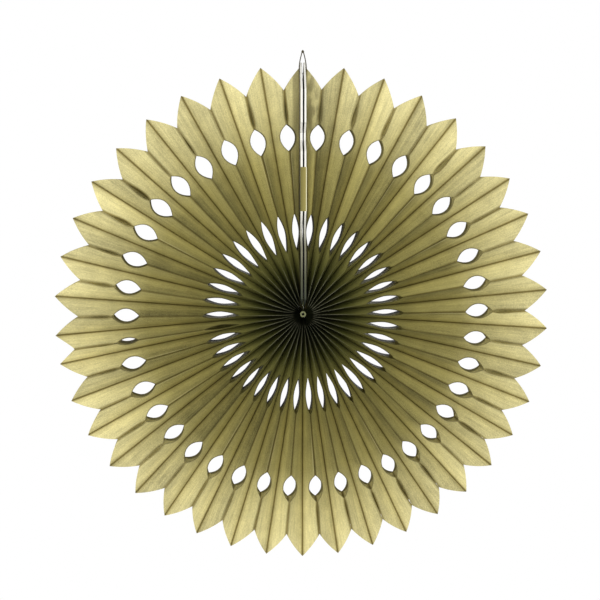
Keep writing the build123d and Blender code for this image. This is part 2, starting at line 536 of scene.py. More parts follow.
@dataclass
class TissueFan:
    """All petals of the fan, folded from copies of one leaf pattern."""

    sizes: FanSizes
    uneven: Uneven = field(default_factory=Uneven)

    BOW_PEAK = 1 / 4
    PARTING_PEAK = 4 / 27
    GLUED_FACE = 0.25

    def crease(self, m: NodeMath, index: Socket) -> Socket:
        """Formula of a glue line's angle.

        Args:
            m: Where the formula is written.
            index: Number of the glue line.

        Returns:
            The angle in radians, clockwise from the seam.
        """
        s = self.sizes
        even = m.mul(index, 2 * pi / s.petals)
        apart = m.mul(m.do("ABSOLUTE", m.sub(index, float(s.pinched_petal))), 1 / s.pinch_reach)
        near = m.do("MAXIMUM", m.sub(1.0, apart), 0.0)
        before = m.sub(1.0, m.mul(m.do("GREATER_THAN", index, s.pinched_petal - 0.5), 2.0))
        sagged = m.add(even, m.mul(m.do("SINE", even), s.sag))
        return m.add(sagged, m.mul(m.mul(near, before), s.pinch / 2))

    def drift(self, m: NodeMath, values: tuple[Socket, Socket, Socket], stretch: Point) -> Socket:
        """Smooth noise between -0.5 and 0.5.

        Args:
            m: Where the formula is written.
            values: What the noise follows.
            stretch: What each of them is multiplied by.

        Returns:
            The noise.
        """
        texture = m.new("ShaderNodeTexNoise", noise_dimensions="4D")
        m.put(texture.inputs["Vector"], m.join(*[m.mul(v, by) for v, by in zip(values, stretch)]))
        m.put(texture.inputs["W"], float(self.uneven.seed))
        m.put(texture.inputs["Scale"], 1.0)
        m.put(texture.inputs["Detail"], self.uneven.noise_detail)
        return m.sub(texture.outputs[0], 0.5)

    def sway(self, m: NodeMath, at: PanelSpot) -> Socket:
        """How far a panel follows its ridge to the side.

        Args:
            m: Where the formula is written.
            at: Place on the panel.

        Returns:
            The distance.
        """
        u = self.uneven
        sway = m.mul(self.drift(m, (at.petal, at.rear, at.distance), u.sway_stretch), 2 * u.ridge_sway)
        near = m.do("MAXIMUM", m.sub(1.0, m.mul(at.distance, 1 / u.lean_reach)), 0.0)
        return m.mul(m.add(sway, m.mul(near, u.lean)), m.mul(at.share, at.share))

    def bow(self, m: NodeMath, at: PanelSpot) -> Socket:
        """How far a panel buckles out of its plane.

        Args:
            m: Where the formula is written.
            at: Place on the panel.

        Returns:
            The distance.
        """
        u = self.uneven
        bow = m.mul(m.mul(at.share, m.sub(1.0, at.share)), 2 * u.buckle / self.BOW_PEAK)
        return m.mul(bow, self.drift(m, (at.number, at.share, at.distance), u.buckle_stretch))

    def past_eye(self, m: NodeMath, at: PanelSpot) -> Socket:
        """Share of the way from the eye's outer end to the notch, below 0 and above 1 outside it."""
        s = self.sizes
        return m.mul(m.sub(at.distance, s.eye_out), 1 / (s.notch_radius - s.eye_out))

    def parting(self, m: NodeMath, at: PanelSpot) -> Socket:
        """How far a panel's front edge stands off the ridge between the eye and the notch.

        Args:
            m: Where the formula is written.
            at: Place on the panel.

        Returns:
            The distance that the two edges of a front ridge have parted, halved.
        """
        u = self.uneven
        along = self.past_eye(m, at)
        far = m.do("MAXIMUM", m.sub(1.0, along), 0.0)
        inside = m.do("MAXIMUM", m.mul(along, m.mul(far, far)), 0.0)
        chance = m.new("FunctionNodeRandomValue", data_type="FLOAT")
        m.put(chance.inputs["ID"], m.add(m.mul(at.petal, 2.0), at.rear))
        m.put(chance.inputs["Seed"], u.seed)
        amount = m.mul(m.do("POWER", chance.outputs[1], u.parting_rarity), m.sub(1.0, at.rear))
        edge = m.do("POWER", at.share, u.edge_power)
        return m.mul(m.mul(m.mul(inside, 1 / self.PARTING_PEAK), amount), m.mul(edge, u.parting / 2))

    def pinched(self, m: NodeMath, at: PanelSpot) -> Socket:
        """One on the pinched petal, and 0 on the others."""
        away = m.do("ABSOLUTE", m.sub(at.petal, self.sizes.pinched_petal - 1.0))
        return m.do("MAXIMUM", m.sub(1.0, away), 0.0)

    def drawn_together(self, m: NodeMath, at: PanelSpot) -> Socket:
        """Draw the edges of the pinched petal's eye and slot together, the slot more so at the rear.

        Args:
            m: Where the formula is written.
            at: Place on the panel.

        Returns:
            The share from glue line to ridge, larger round those two cut-outs.
        """
        s, u = self.sizes, self.uneven
        depth = s.cut_depth / s.panel
        shut = m.add(u.slot_closed, m.mul(at.rear, u.slot_closed_rear - u.slot_closed))
        share = at.share
        for radius, length, power, closed in (
            (s.eye_radius, s.eye_length, LeafPattern.EYE_POWER, u.eye_closed),
            (s.slot_radius, s.slot_length, LeafPattern.SLOT_POWER, shut),
        ):
            along = m.mul(m.do("ABSOLUTE", m.sub(at.distance, radius)), 2 / length)
            wide = m.do("MAXIMUM", m.sub(1.0, m.do("POWER", along, power)), 0.0)
            left = m.sub(wide, m.mul(m.do("MINIMUM", wide, closed), self.pinched(m, at)))
            wider = m.do("DIVIDE", m.sub(1.0, m.mul(left, depth)), m.sub(1.0, m.mul(wide, depth)))
            share = m.mul(share, wider)
        return share

    def pushed_out(self, m: NodeMath, at: PanelSpot) -> Socket:
        """Push the pinched petal's notch outwards.

        Args:
            m: Where the formula is written.
            at: Place on the panel.

        Returns:
            The distance from the hub, larger near that notch.
        """
        u = self.uneven
        along = m.do("MINIMUM", m.do("MAXIMUM", self.past_eye(m, at), 0.0), 1.0)
        amount = m.mul(m.mul(along, m.do("POWER", at.share, u.edge_power)), u.notch_push)
        return m.add(at.distance, m.mul(amount, self.pinched(m, at)))

    def panels(self, m: NodeMath, given: bpy.types.Node) -> Socket:
        """Copy the leaf pattern once for each panel, and note the panel's number and the flat place on it.

        Args:
            m: Where the formula is written.
            given: Inputs of the node tree.

        Returns:
            The flat panels.
        """
        info = m.new("GeometryNodeObjectInfo")
        m.put(info.inputs["Object"], given.outputs["Leaf pattern"])
        line = m.new("GeometryNodeMeshLine")
        m.put(line.inputs["Count"], m.mul(given.outputs["Petals"], float(PANELS_A_PETAL)))
        m.put(line.inputs["Offset"], (0.0, 0.0, 0.0))
        copies = m.new("GeometryNodeInstanceOnPoints")
        m.put(copies.inputs["Points"], line.outputs[0])
        m.put(copies.inputs["Instance"], info.outputs["Geometry"])
        numbered = m.new("GeometryNodeStoreNamedAttribute", data_type="FLOAT", domain="INSTANCE")
        m.put(numbered.inputs["Geometry"], copies.outputs[0])
        m.put(numbered.inputs["Name"], "panel")
        m.put(numbered.inputs["Value"], m.new("GeometryNodeInputIndex").outputs[0])
        real = m.new("GeometryNodeRealizeInstances")
        m.put(real.inputs[0], numbered.outputs[0])
        noted = m.new("GeometryNodeStoreNamedAttribute", data_type="FLOAT_VECTOR", domain="POINT")
        m.put(noted.inputs["Geometry"], real.outputs[0])
        m.put(noted.inputs["Name"], "leaf")
        m.put(noted.inputs["Value"], m.new("GeometryNodeInputPosition").outputs[0])
        return noted.outputs[0]

    def spot(self, m: NodeMath) -> PanelSpot:
        """Read a place on a flat panel.

        Args:
            m: Where the formula is written.

        Returns:
            The place, with the pinched petal's cut-outs and notch already moved.
        """
        panel = m.new("GeometryNodeInputNamedAttribute", data_type="FLOAT")
        m.put(panel.inputs["Name"], "panel")
        number = panel.outputs["Attribute"]
        petal = m.do("FLOOR", m.mul(number, 1 / PANELS_A_PETAL))
        quarter = m.sub(number, m.mul(petal, float(PANELS_A_PETAL)))
        rear = m.do("FLOOR", m.mul(quarter, 1 / FIRST_REAR_PANEL))
        right = m.sub(quarter, m.mul(rear, float(FIRST_REAR_PANEL)))
        share, middle, distance = m.split(m.new("GeometryNodeInputPosition").outputs[0])
        at = PanelSpot(number, petal, rear, right, share, middle, distance)
        at = replace(at, share=self.drawn_together(m, at))
        return replace(at, distance=self.pushed_out(m, at))

    def beside_cards(self, m: NodeMath, x: Socket, z: Socket, mid: Socket) -> Socket:
        """Keep the tissue clear of the cards at the seam.

        Args:
            m: Where the formula is written.
            x: Distance to the right of the seam.
            z: Height over the hub.
            mid: Angle of the petal's middle.

        Returns:
            The distance to the right, moved where the cards stand.
        """
        s = self.sizes
        side = m.do("SIGN", m.do("SINE", mid))
        upper = m.do("GREATER_THAN", z, s.seam_foot)
        least = m.mul(upper, s.seam_half + s.seam_clearance)
        clear = m.do("MAXIMUM", m.mul(x, side), least)
        return m.add(m.mul(m.mul(clear, side), upper), m.mul(x, m.sub(1.0, upper)))

    def folded(self, m: NodeMath, at: PanelSpot, across: Socket, deep: Socket) -> Socket:
        """Place of a point once its petal is folded and opened.

        Args:
            m: Where the formula is written.
            at: Place on the panel.
            across: One on right panels and minus one on left ones.
            deep: One on rear panels and minus one on front ones.

        Returns:
            The place on the fan.
        """
        s, u = self.sizes, self.uneven
        start = self.crease(m, at.petal)
        end = self.crease(m, m.add(at.petal, 1.0))
        phi = m.mul(m.sub(end, start), 0.5)
        mid = m.mul(m.add(end, start), 0.5)
        half = m.mul(at.distance, m.do("SINE", phi))
        rise = m.do("SQRT", m.do("MAXIMUM", m.sub(s.panel**2, m.mul(half, half)), 0.0))
        bow = self.bow(m, at)
        x = m.add(m.mul(m.mul(across, half), m.sub(1.0, at.share)), self.sway(m, at))
        x = m.add(x, m.mul(m.mul(across, bow), u.buckle_aside))
        x = m.add(x, m.mul(across, self.parting(m, at)))
        y = m.add(m.mul(m.sub(1.0, at.middle), s.glue_half), m.mul(at.share, rise))
        y = m.mul(deep, m.add(y, m.mul(bow, u.buckle_out)))
        z = m.mul(at.distance, m.do("COSINE", phi))
        turned_x = m.add(m.mul(x, m.do("COSINE", mid)), m.mul(z, m.do("SINE", mid)))
        turned_z = m.sub(m.mul(z, m.do("COSINE", mid)), m.mul(x, m.do("SINE", mid)))
        return m.join(self.beside_cards(m, turned_x, turned_z, mid), y, turned_z)

    def single_sheets(self, m: NodeMath, at: PanelSpot, panels: Socket) -> Socket:
        """Drop one of each two sheets that are glued flat on each other.

        Args:
            m: Where the formula is written.
            at: Place on the panel.
            panels: The flat panels.

        Returns:
            The panels, with the right glue line left on the last petal alone, which has no neighbour.
        """
        glued = m.mul(m.do("GREATER_THAN", at.middle, self.GLUED_FACE), at.right)
        last = self.sizes.petals - 1
        beside_next = m.do("LESS_THAN", at.petal, last - 0.5)
        single = m.new("GeometryNodeDeleteGeometry", domain="FACE")
        m.put(single.inputs["Geometry"], panels)
        m.put(single.inputs["Selection"], m.mul(glued, beside_next))
        return single.outputs[0]

    def tree(self, material: bpy.types.Material) -> bpy.types.NodeTree:
        """Build the node tree that folds the leaves into petals.

        Args:
            material: Material of the tissue.

        Returns:
            The node tree, which has the number of petals and the leaf pattern as its inputs.
        """
        tree = bpy.data.node_groups.new("fold_petals", "GeometryNodeTree")
        tree.interface.new_socket("Petals", in_out="INPUT", socket_type="NodeSocketInt")
        tree.interface.new_socket("Leaf pattern", in_out="INPUT", socket_type="NodeSocketObject")
        tree.interface.new_socket("Geometry", in_out="OUTPUT", socket_type="NodeSocketGeometry")
        m = NodeMath(tree)
        panels = self.panels(m, m.new("NodeGroupInput"))
        at = self.spot(m)
        across = m.sub(m.mul(at.right, 2.0), 1.0)
        deep = m.sub(m.mul(at.rear, 2.0), 1.0)
        moved = m.new("GeometryNodeSetPosition")
        m.put(moved.inputs["Geometry"], self.single_sheets(m, at, panels))
        m.put(moved.inputs["Position"], self.folded(m, at, across, deep))
        flip = m.new("GeometryNodeFlipFaces")
        m.put(flip.inputs["Mesh"], moved.outputs[0])
        m.put(flip.inputs["Selection"], m.do("GREATER_THAN", m.mul(across, deep), 0.0))
        smooth = m.new("GeometryNodeSetShadeSmooth")
        m.put(smooth.inputs["Geometry"], flip.outputs[0])
        paint = m.new("GeometryNodeSetMaterial")
        m.put(paint.inputs["Geometry"], smooth.outputs[0])
        m.put(paint.inputs["Material"], material)
        m.put(m.new("NodeGroupOutput").inputs[0], paint.outputs[0])
        return tree

    def build(self, material: bpy.types.Material) -> bpy.types.Object:
        """Fold the tissue and put it in place of the part's plain petals.

        Args:
            material: Material of the tissue.

        Returns:
            The finished piece.
        """
        pattern = LeafPattern(self.sizes).build()
        tree = self.tree(material)
        carrier = add_object("tissue_carrier", bpy.data.meshes.new("tissue_carrier"))
        modifier = carrier.modifiers.new("fold", "NODES")
        values = {"Petals": self.sizes.petals, "Leaf pattern": pattern}
        modifier.node_group = tree
        for item in tree.interface.items_tree:
            if item.in_out == "INPUT":
                modifier[item.identifier] = values[item.name]
        graph = bpy.context.evaluated_depsgraph_get()
        mesh = bpy.data.meshes.new_from_object(carrier.evaluated_get(graph))
        bpy.data.objects.remove(carrier)
        bpy.data.objects.remove(pattern)
        piece = add_object("tissue_fan", mesh)
        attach(piece, "root")
        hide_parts("tissue_petals")
        return piece


@dataclass(frozen=True)
class SeamShade:
    """Painted shade on the two tissue petals beside the seam, which are crumpled and glued to the cards."""

    glued: Span = (0.0024, 0.0045)
    glued_depth: float = 0.7
    foot: float = 0.004
    crumple_noise: Noise = (260.0, 3.0)
    crumple_height: float = 0.3
    crumple_span: Span = (-0.1, 0.1)
    patch: Span = (0.011, 0.019)
    patch_up: Span = (0.100, 0.150)
    patch_depth: float = 0.18
    crumple_depth: float = 0.16
    left_share: float = 0.6
    right_more: float = 1.3
    band: Span = (0.0070, 0.0100)
    band_up: Span = (0.110, 0.150)
    band_depth: float = 0.58

    def build(self, m: NodeMath, place: Socket) -> Socket:
        """Write the painted shade into a material.

        Args:
            m: Where the formula is written.
            place: Place on the fan.

        Returns:
            Share of the dark colour.
        """
        across, _, up = m.split(place)
        away = m.do("ABSOLUTE", across)
        right = m.do("GREATER_THAN", across, 0.0)
        # Painted shade: a strip beside the cards, crumpled patches, and a band on the left.
        glued = m.mul(m.fall(away, self.glued), self.glued_depth)
        drawn_out = m.join(across, 0.0, m.mul(up, self.crumple_height))
        crumpled = m.ramp(m.noise(drawn_out, *self.crumple_noise), self.crumple_span)
        depth = m.add(self.patch_depth, m.mul(crumpled, self.crumple_depth))
        patch = m.mul(m.fall(away, self.patch), depth)
        patch = m.mul(patch, m.add(self.left_share, m.mul(right, self.right_more)))
        patch = m.mul(patch, m.ramp(up, self.patch_up))
        band = m.mul(m.fall(away, self.band), m.mul(m.sub(1.0, right), self.band_depth))
        band = m.mul(band, m.ramp(up, self.band_up))
        shade = m.do("MAXIMUM", glued, m.do("MAXIMUM", patch, band))
        return m.mul(shade, m.do("GREATER_THAN", up, self.foot))


@dataclass(frozen=True)
class TissueSpot:
    """What the tissue's finish knows of a place on it.

    Attributes:
        place: Place on the fan.
        share: Share of the way from glue line to ridge.
        distance: Distance from the hub.
        panel: Number of the panel.
        own: Random value of the panel.
    """

    place: Socket
    share: Socket
    distance: Socket
    panel: Socket
    own: Socket


@dataclass(frozen=True)
class TissueFinish:
    """Gold tissue paper, finely speckled, with painted shade in its glue creases and slits, at its
    cut-outs and towards the hub, and pale ridge lines: painted highlights and, near the hub, rubbed dye too.

    Spans that end in out or zone are distances from the hub. edge and within are nearness to the edge of a
    cut-out, highlight_chance is the panel's random value, and the other spans are shares of the way from glue
    line to ridge. Noises are a scale and a number of octaves. painted_hub_shade holds what the colour is
    multiplied by towards the hub, a painted shade of the deep pleats where the layers of tissue lie close
    together.
    """

    name: str = "gold_tissue_look"
    colour: Colour = linear(214, 204, 147)
    # crease: dark colour of painted shade on the glue lines, in the valleys and slits and along the ridges.
    crease: Colour = linear(112, 98, 44)
    # Pale colour of the ridges near the hub: painted highlight and rubbed dye.
    wear_and_highlight: Colour = linear(164, 163, 136)
    # cut and inside: dark colours of painted shade at the cut-outs, inside the petals and beside the seam.
    cut: Colour = linear(58, 52, 24)
    inside: Colour = linear(24, 22, 10)
    # Painted shade of the deep pleats towards the hub.
    painted_hub_shade: Stops = (
        (0.012, (0.03, 0.04, 0.02, 1.0)),
        (0.024, (0.06, 0.07, 0.03, 1.0)),
        (0.036, (0.14, 0.16, 0.07, 1.0)),
        (0.049, (0.31, 0.33, 0.19, 1.0)),
        (0.090, (0.49, 0.48, 0.32, 1.0)),
        (0.126, (0.54, 0.53, 0.39, 1.0)),
        (0.163, (0.90, 0.90, 0.87, 1.0)),
        (0.186, WHITE),
    )
    speckle: float = 0.36
    speckle_noise: Noise = (1000.0, 3.0)
    cloud: float = 0.22
    cloud_noise: Noise = (90.0, 4.0)
    streak: float = 0.24
    streak_stretch: Point = (17.3, 60.0, 7.3)
    streak_noises: tuple[Noise, Noise] = ((0.9, 3.0), (0.35, 2.0))
    own_level: float = 0.26
    # lean to lean_zone: painted light and shade, as if petals leaned, with left panels lit and right ones
    # shaded.
    lean: float = 0.34
    lean_seed: float = 0.37
    lit_side: float = 0.14
    shaded_side: float = 0.36
    shaded: Span = (0.12, 0.95)
    lean_zone: tuple[Span, Span] = ((0.060, 0.090), (0.122, 0.142))
    # fold_out to glue_depth: painted shade along the ridges, in the slits past the eyes, in the valleys and
    # on the glue lines.
    fold_out: Span = (0.050, 0.085)
    ridge: Span = (0.85, 0.985)
    ridge_least: float = 0.45
    slit_shade: Span = (0.84, 0.97)
    slit_least: float = 0.55
    slit_out: Span = (0.150, 0.158)
    valley_shade: Span = (0.0, 0.34)
    valley_shade_depth: float = 0.34
    glue: Span = (0.0, 0.10)
    glue_depth: float = 0.9
    # Painted highlights beside some ridges, and pale ridges near the hub of painted highlight and rubbed dye.
    painted_ridge_highlight: tuple[Span, Span] = ((0.83, 0.87), (0.89, 0.93))
    highlight_chance: Span = (0.60, 0.75)
    highlight_depth: float = 0.42
    highlight_zone: tuple[Span, Span] = ((0.085, 0.115), (0.129, 0.133))
    wear_and_highlight_ridge: Span = (0.85, 0.97)
    wear_and_highlight_out: Span = (0.022, 0.050)
    wear_and_highlight_depth: float = 0.75
    # slots_out to within_depth: painted shade at the cut-outs' edges and inside the petals on the rear
    # panels.
    slots_out: Span = (0.085, 0.110)
    slot_edge: float = 0.16
    edge: Span = (0.62, 0.97)
    edge_depth: float = 0.82
    within: Span = (0.02, 0.55)
    within_depth: float = 0.73
    bump: float = 0.3
    bump_height: float = 0.0006
    bump_noise: Noise = (320.0, 4.0)
    roughness: float = 0.6
    gloss: float = 0.22
    through: float = 0.08
    seam: SeamShade = SeamShade()

    def zone(self, m: NodeMath, value: Socket, spans: tuple[Span, Span]) -> Socket:
        """One between two spans, with a smooth step up in the first and down in the second."""
        rise, fall = spans
        return m.sub(m.ramp(value, rise), m.ramp(value, fall))

    def own_share(self, m: NodeMath, at: TissueSpot, least: float) -> Socket:
        """The panel's own share, from some least one to 1."""
        return m.add(least, m.mul(at.own, 1 - least))

    def painted_lean_shade(self, m: NodeMath, at: TissueSpot) -> Socket:
        """How much painted light and shade make a panel lighter or darker, as if its petal leaned.

        Args:
            m: Where the formula is written.
            at: Place on the tissue.

        Returns:
            What is added to the tissue's level.
        """
        right = m.do("MODULO", at.panel, 2.0)
        turned = m.sub(1.0, m.mul(right, 2.0))
        glue_line = m.add(m.do("FLOOR", m.mul(at.panel, 1 / PANELS_A_PETAL)), right)
        chance = m.chance(m.add(glue_line, self.lean_seed))
        # Painted light and shade: a random lean, lit left panels and shaded right ones.
        lean = m.mul(m.mul(m.sub(chance, 0.5), self.lean), turned)
        lit = m.mul(m.sub(1.0, right), self.lit_side)
        shaded = m.mul(m.mul(right, m.ramp(at.share, self.shaded)), self.shaded_side)
        return m.add(lean, m.mul(m.sub(lit, shaded), self.zone(m, at.distance, self.lean_zone)))

    def level(self, m: NodeMath, at: TissueSpot) -> Socket:
        """How light the tissue is at a place, by its speckle, clouds and streaks and by its panel,
        with painted light and shade as if the panel's petal leaned.

        Args:
            m: Where the formula is written.
            at: Place on the tissue.

        Returns:
            A level round 1.
        """
        values = (at.share, at.distance, at.panel)
        strand = m.join(*[m.mul(value, by) for value, by in zip(values, self.streak_stretch)])
        level = m.add(1.0, m.mul(m.noise(at.place, *self.speckle_noise), 2 * self.speckle))
        level = m.add(level, m.mul(m.noise(at.place, *self.cloud_noise), 2 * self.cloud))
        for streaks in self.streak_noises:
            level = m.add(level, m.mul(m.noise(strand, *streaks), 2 * self.streak))
        level = m.add(level, m.mul(m.sub(at.own, 0.5), self.own_level))
        # Painted light and shade as if the petal leaned.
        return m.add(level, self.painted_lean_shade(m, at))

    def folds(self, m: NodeMath, at: TissueSpot) -> Socket:
        """The tissue's colour with painted shade along its ridges, slits, valleys and glue lines.

        Args:
            m: Where the formula is written.
            at: Place on the tissue.

        Returns:
            The colour.
        """
        # Painted shade in the creases, mixed towards the crease colour.
        out = m.ramp(at.distance, self.fold_out)
        ridge = m.mul(m.ramp(at.share, self.ridge), self.own_share(m, at, self.ridge_least))
        slit_shade = m.mul(m.ramp(at.share, self.slit_shade), self.own_share(m, at, self.slit_least))
        slit_shade = m.mul(slit_shade, m.ramp(at.distance, self.slit_out))
        valley_shade = m.mul(m.fall(at.share, self.valley_shade), m.mul(out, self.valley_shade_depth))
        glue = m.mul(m.fall(at.share, self.glue), self.glue_depth)
        colour = m.blend(m.do("MAXIMUM", m.mul(ridge, out), slit_shade), self.colour, self.crease)
        colour = m.blend(valley_shade, colour, self.crease)
        return m.blend(glue, colour, self.crease)

    def ridge_highlights_and_wear(self, m: NodeMath, at: TissueSpot, colour: Socket) -> Socket:
        """Add painted highlights beside some ridges, and pale hub ridges of painted highlight and rubbed dye.

        Args:
            m: Where the formula is written.
            at: Place on the tissue.
            colour: Colour of the tissue.

        Returns:
            The colour with them.
        """
        # Painted highlight beside some ridges, back towards the tissue's base colour.
        painted_ridge_highlight = self.zone(m, at.share, self.painted_ridge_highlight)
        painted_ridge_highlight = m.mul(painted_ridge_highlight, m.mul(m.ramp(at.own, self.highlight_chance), self.highlight_depth))
        painted_ridge_highlight = m.mul(painted_ridge_highlight, self.zone(m, at.distance, self.highlight_zone))
        colour = m.blend(painted_ridge_highlight, colour, self.colour)
        # Pale ridges near the hub: painted highlight and rubbed dye.
        wear_and_highlight = m.mul(m.ramp(at.share, self.wear_and_highlight_ridge), m.fall(at.distance, self.wear_and_highlight_out))
        return m.blend(m.mul(wear_and_highlight, self.wear_and_highlight_depth), colour, self.wear_and_highlight)

    def cut_out_shade(self, m: NodeMath, at: TissueSpot, colour: Socket) -> Socket:
        """Add painted shade on the edges of the cut-outs, and painted shade inside the petals on the rear
        panels.

        Args:
            m: Where the formula is written.
            at: Place on the tissue.
            colour: Colour of the tissue.

        Returns:
            The colour with them.
        """
        rim = m.new("ShaderNodeAttribute", attribute_name="rim", attribute_type="GEOMETRY").outputs["Fac"]
        of_petal = m.do("MODULO", at.panel, float(PANELS_A_PETAL))
        rear = m.do("GREATER_THAN", of_petal, FIRST_REAR_PANEL - 0.5)
        slots = m.fall(at.distance, self.slots_out)
        # Painted shade on the cut-outs' edges and, on the rear panels, inside the petals.
        edge = m.mul(m.ramp(m.add(rim, m.mul(slots, self.slot_edge)), self.edge), self.edge_depth)
        within = m.mul(m.ramp(rim, self.within), rear)
        colour = m.blend(m.do("MAXIMUM", edge, m.mul(within, self.within_depth)), colour, self.cut)
        return m.blend(m.mul(within, slots), colour, self.inside)

    def surface(self, m: NodeMath, at: TissueSpot, colour: Socket) -> Socket:
        """Thin paper of a colour, which lets a little light through.

        Args:
            m: Where the formula is written.
            at: Place on the tissue.
            colour: Colour of the tissue.

        Returns:
            The shader.
        """
        bump = m.new("ShaderNodeBump")
        m.put(bump.inputs["Strength"], self.bump)
        m.put(bump.inputs["Distance"], self.bump_height)
        m.put(bump.inputs["Height"], m.noise(at.place, *self.bump_noise))
        paper = m.new("ShaderNodeBsdfPrincipled")
        m.put(paper.inputs["Base Color"], colour)
        m.put(paper.inputs["Roughness"], self.roughness)
        m.put(paper.inputs["Specular IOR Level"], self.gloss)
        m.put(paper.inputs["Normal"], bump.outputs[0])
        glow = m.new("ShaderNodeBsdfTranslucent")
        m.put(glow.inputs["Color"], colour)
        both = m.new("ShaderNodeMixShader")
        m.put(both.inputs[0], self.through)
        m.put(both.inputs[1], paper.outputs[0])
        m.put(both.inputs[2], glow.outputs[0])
        return both.outputs[0]

    def build(self) -> bpy.types.Material:
        """Make the material.

        Returns:
            The material.
        """
        material, m = new_material(self.name)
        place = m.new("ShaderNodeTexCoord").outputs["Object"]
        leaf = m.new("ShaderNodeAttribute", attribute_name="leaf", attribute_type="GEOMETRY")
        share, _, distance = m.split(leaf.outputs["Vector"])
        panel = m.new("ShaderNodeAttribute", attribute_name="panel", attribute_type="GEOMETRY").outputs["Fac"]
        at = TissueSpot(place, share, distance, panel, m.chance(panel))
        colour = m.blend(1.0, self.folds(m, at), m.grey(self.level(m, at)), "MULTIPLY")
        # Painted shade towards the hub.
        colour = m.blend(1.0, colour, m.gradient(at.distance, 0.0, self.painted_hub_shade), "MULTIPLY")
        colour = self.cut_out_shade(m, at, self.ridge_highlights_and_wear(m, at, colour))
        # Painted shade beside the seam.
        colour = m.blend(self.seam.build(m, at.place), colour, self.cut)
        m.put(m.new("ShaderNodeOutputMaterial").inputs["Surface"], self.surface(m, at, colour))
        return material


class Axis(Enum):
    """Axes of the object."""

    X = 0
    Z = 2


@dataclass(frozen=True)
class Fade:
    """Colours along one axis of the object."""

    axis: Axis
    stops: Stops

    def build(self, m: NodeMath, place: Socket) -> Socket:
        """Write the colours into a material, and return the one at a place."""
        return m.gradient(m.split(place)[self.axis.value], self.stops[0][0], self.stops)


@dataclass(frozen=True)
class PlainFinish:
    """A matt finish with fine speckle.

    Attributes:
        name: Name of the material.
        base: Its colour, or its colours along an axis.
        shade: Colours that it is multiplied by, if any.
        speckle: How strong the speckle is.
        grain: Scale of the speckle.
        detail: Its octaves.
        roughness: How matt the finish is.
    """

    name: str
    base: Union[Colour, Fade]
    shade: Optional[Fade] = None
    speckle: float = 0.08
    grain: float = 1800.0
    detail: float = 3.0
    roughness: float = 0.85

    def build(self) -> bpy.types.Material:
        """Make the material.

        Returns:
            The material.
        """
        material, m = new_material(self.name)
        place = m.new("ShaderNodeTexCoord").outputs["Object"]
        level = m.add(1.0, m.mul(m.noise(place, self.grain, self.detail), 2 * self.speckle))
        colour = self.base.build(m, place) if isinstance(self.base, Fade) else self.base
        if self.shade:
            colour = m.blend(1.0, colour, self.shade.build(m, place), "MULTIPLY")
        shader = m.new("ShaderNodeBsdfPrincipled")
        m.put(shader.inputs["Base Color"], m.blend(1.0, colour, m.grey(level), "MULTIPLY"))
        m.put(shader.inputs["Roughness"], self.roughness)
        m.put(m.new("ShaderNodeOutputMaterial").inputs["Surface"], shader.outputs[0])
        return material


def card_finish() -> PlainFinish:
    """White card, with painted shade towards the hub and painted shadow on the sides that face each other.

    Returns:
        The finish of both end cards.
    """
    dark = linear(48, 46, 36)
    # Painted shade towards the hub.
    along = Fade(Axis.Z, (
        (0.010, linear(36, 42, 28)),
        (0.030, linear(72, 74, 52)),
        (0.055, linear(128, 126, 104)),
        (0.085, linear(238, 236, 226)),
    ))
    # Painted shadow on the edges where the two cards face each other.
    painted_gap_shadow = Fade(Axis.X, ((-0.00076, WHITE), (-0.00066, dark), (0.00066, dark), (0.00076, WHITE)))
    return PlainFinish("white_card_look", along, painted_gap_shadow)


def band_finish() -> PlainFinish:
    """Gold paper, darker to the left, with a painted highlight on its right fold.

    Returns:
        The finish of the closing band.
    """
    return PlainFinish("gold_band_look", Fade(Axis.X, (
        (-0.0026, linear(104, 96, 44)),
        (0.0, linear(134, 124, 64)),
        (0.0017, linear(146, 135, 72)),
        # Painted highlight on the right fold.
        (0.0021, linear(228, 222, 186)),
    )))


def tie_finish() -> PlainFinish:
    """Olive thread of the centre tie."""
    return PlainFinish("tie_thread_look", linear(108, 111, 74))


def thread_finish() -> PlainFinish:
    """Dark brown thread that the fan hangs by."""
    return PlainFinish("hanging_thread_look", linear(62, 56, 34))


class NodeLook(Enum):
    """CAD nodes that stay in view and get a finish."""

    END_CARD_LEFT = "end_card_left"
    END_CARD_RIGHT = "end_card_right"
    CLOSING_BAND = "closing_band"
    CENTRE_TIE = "centre_tie"


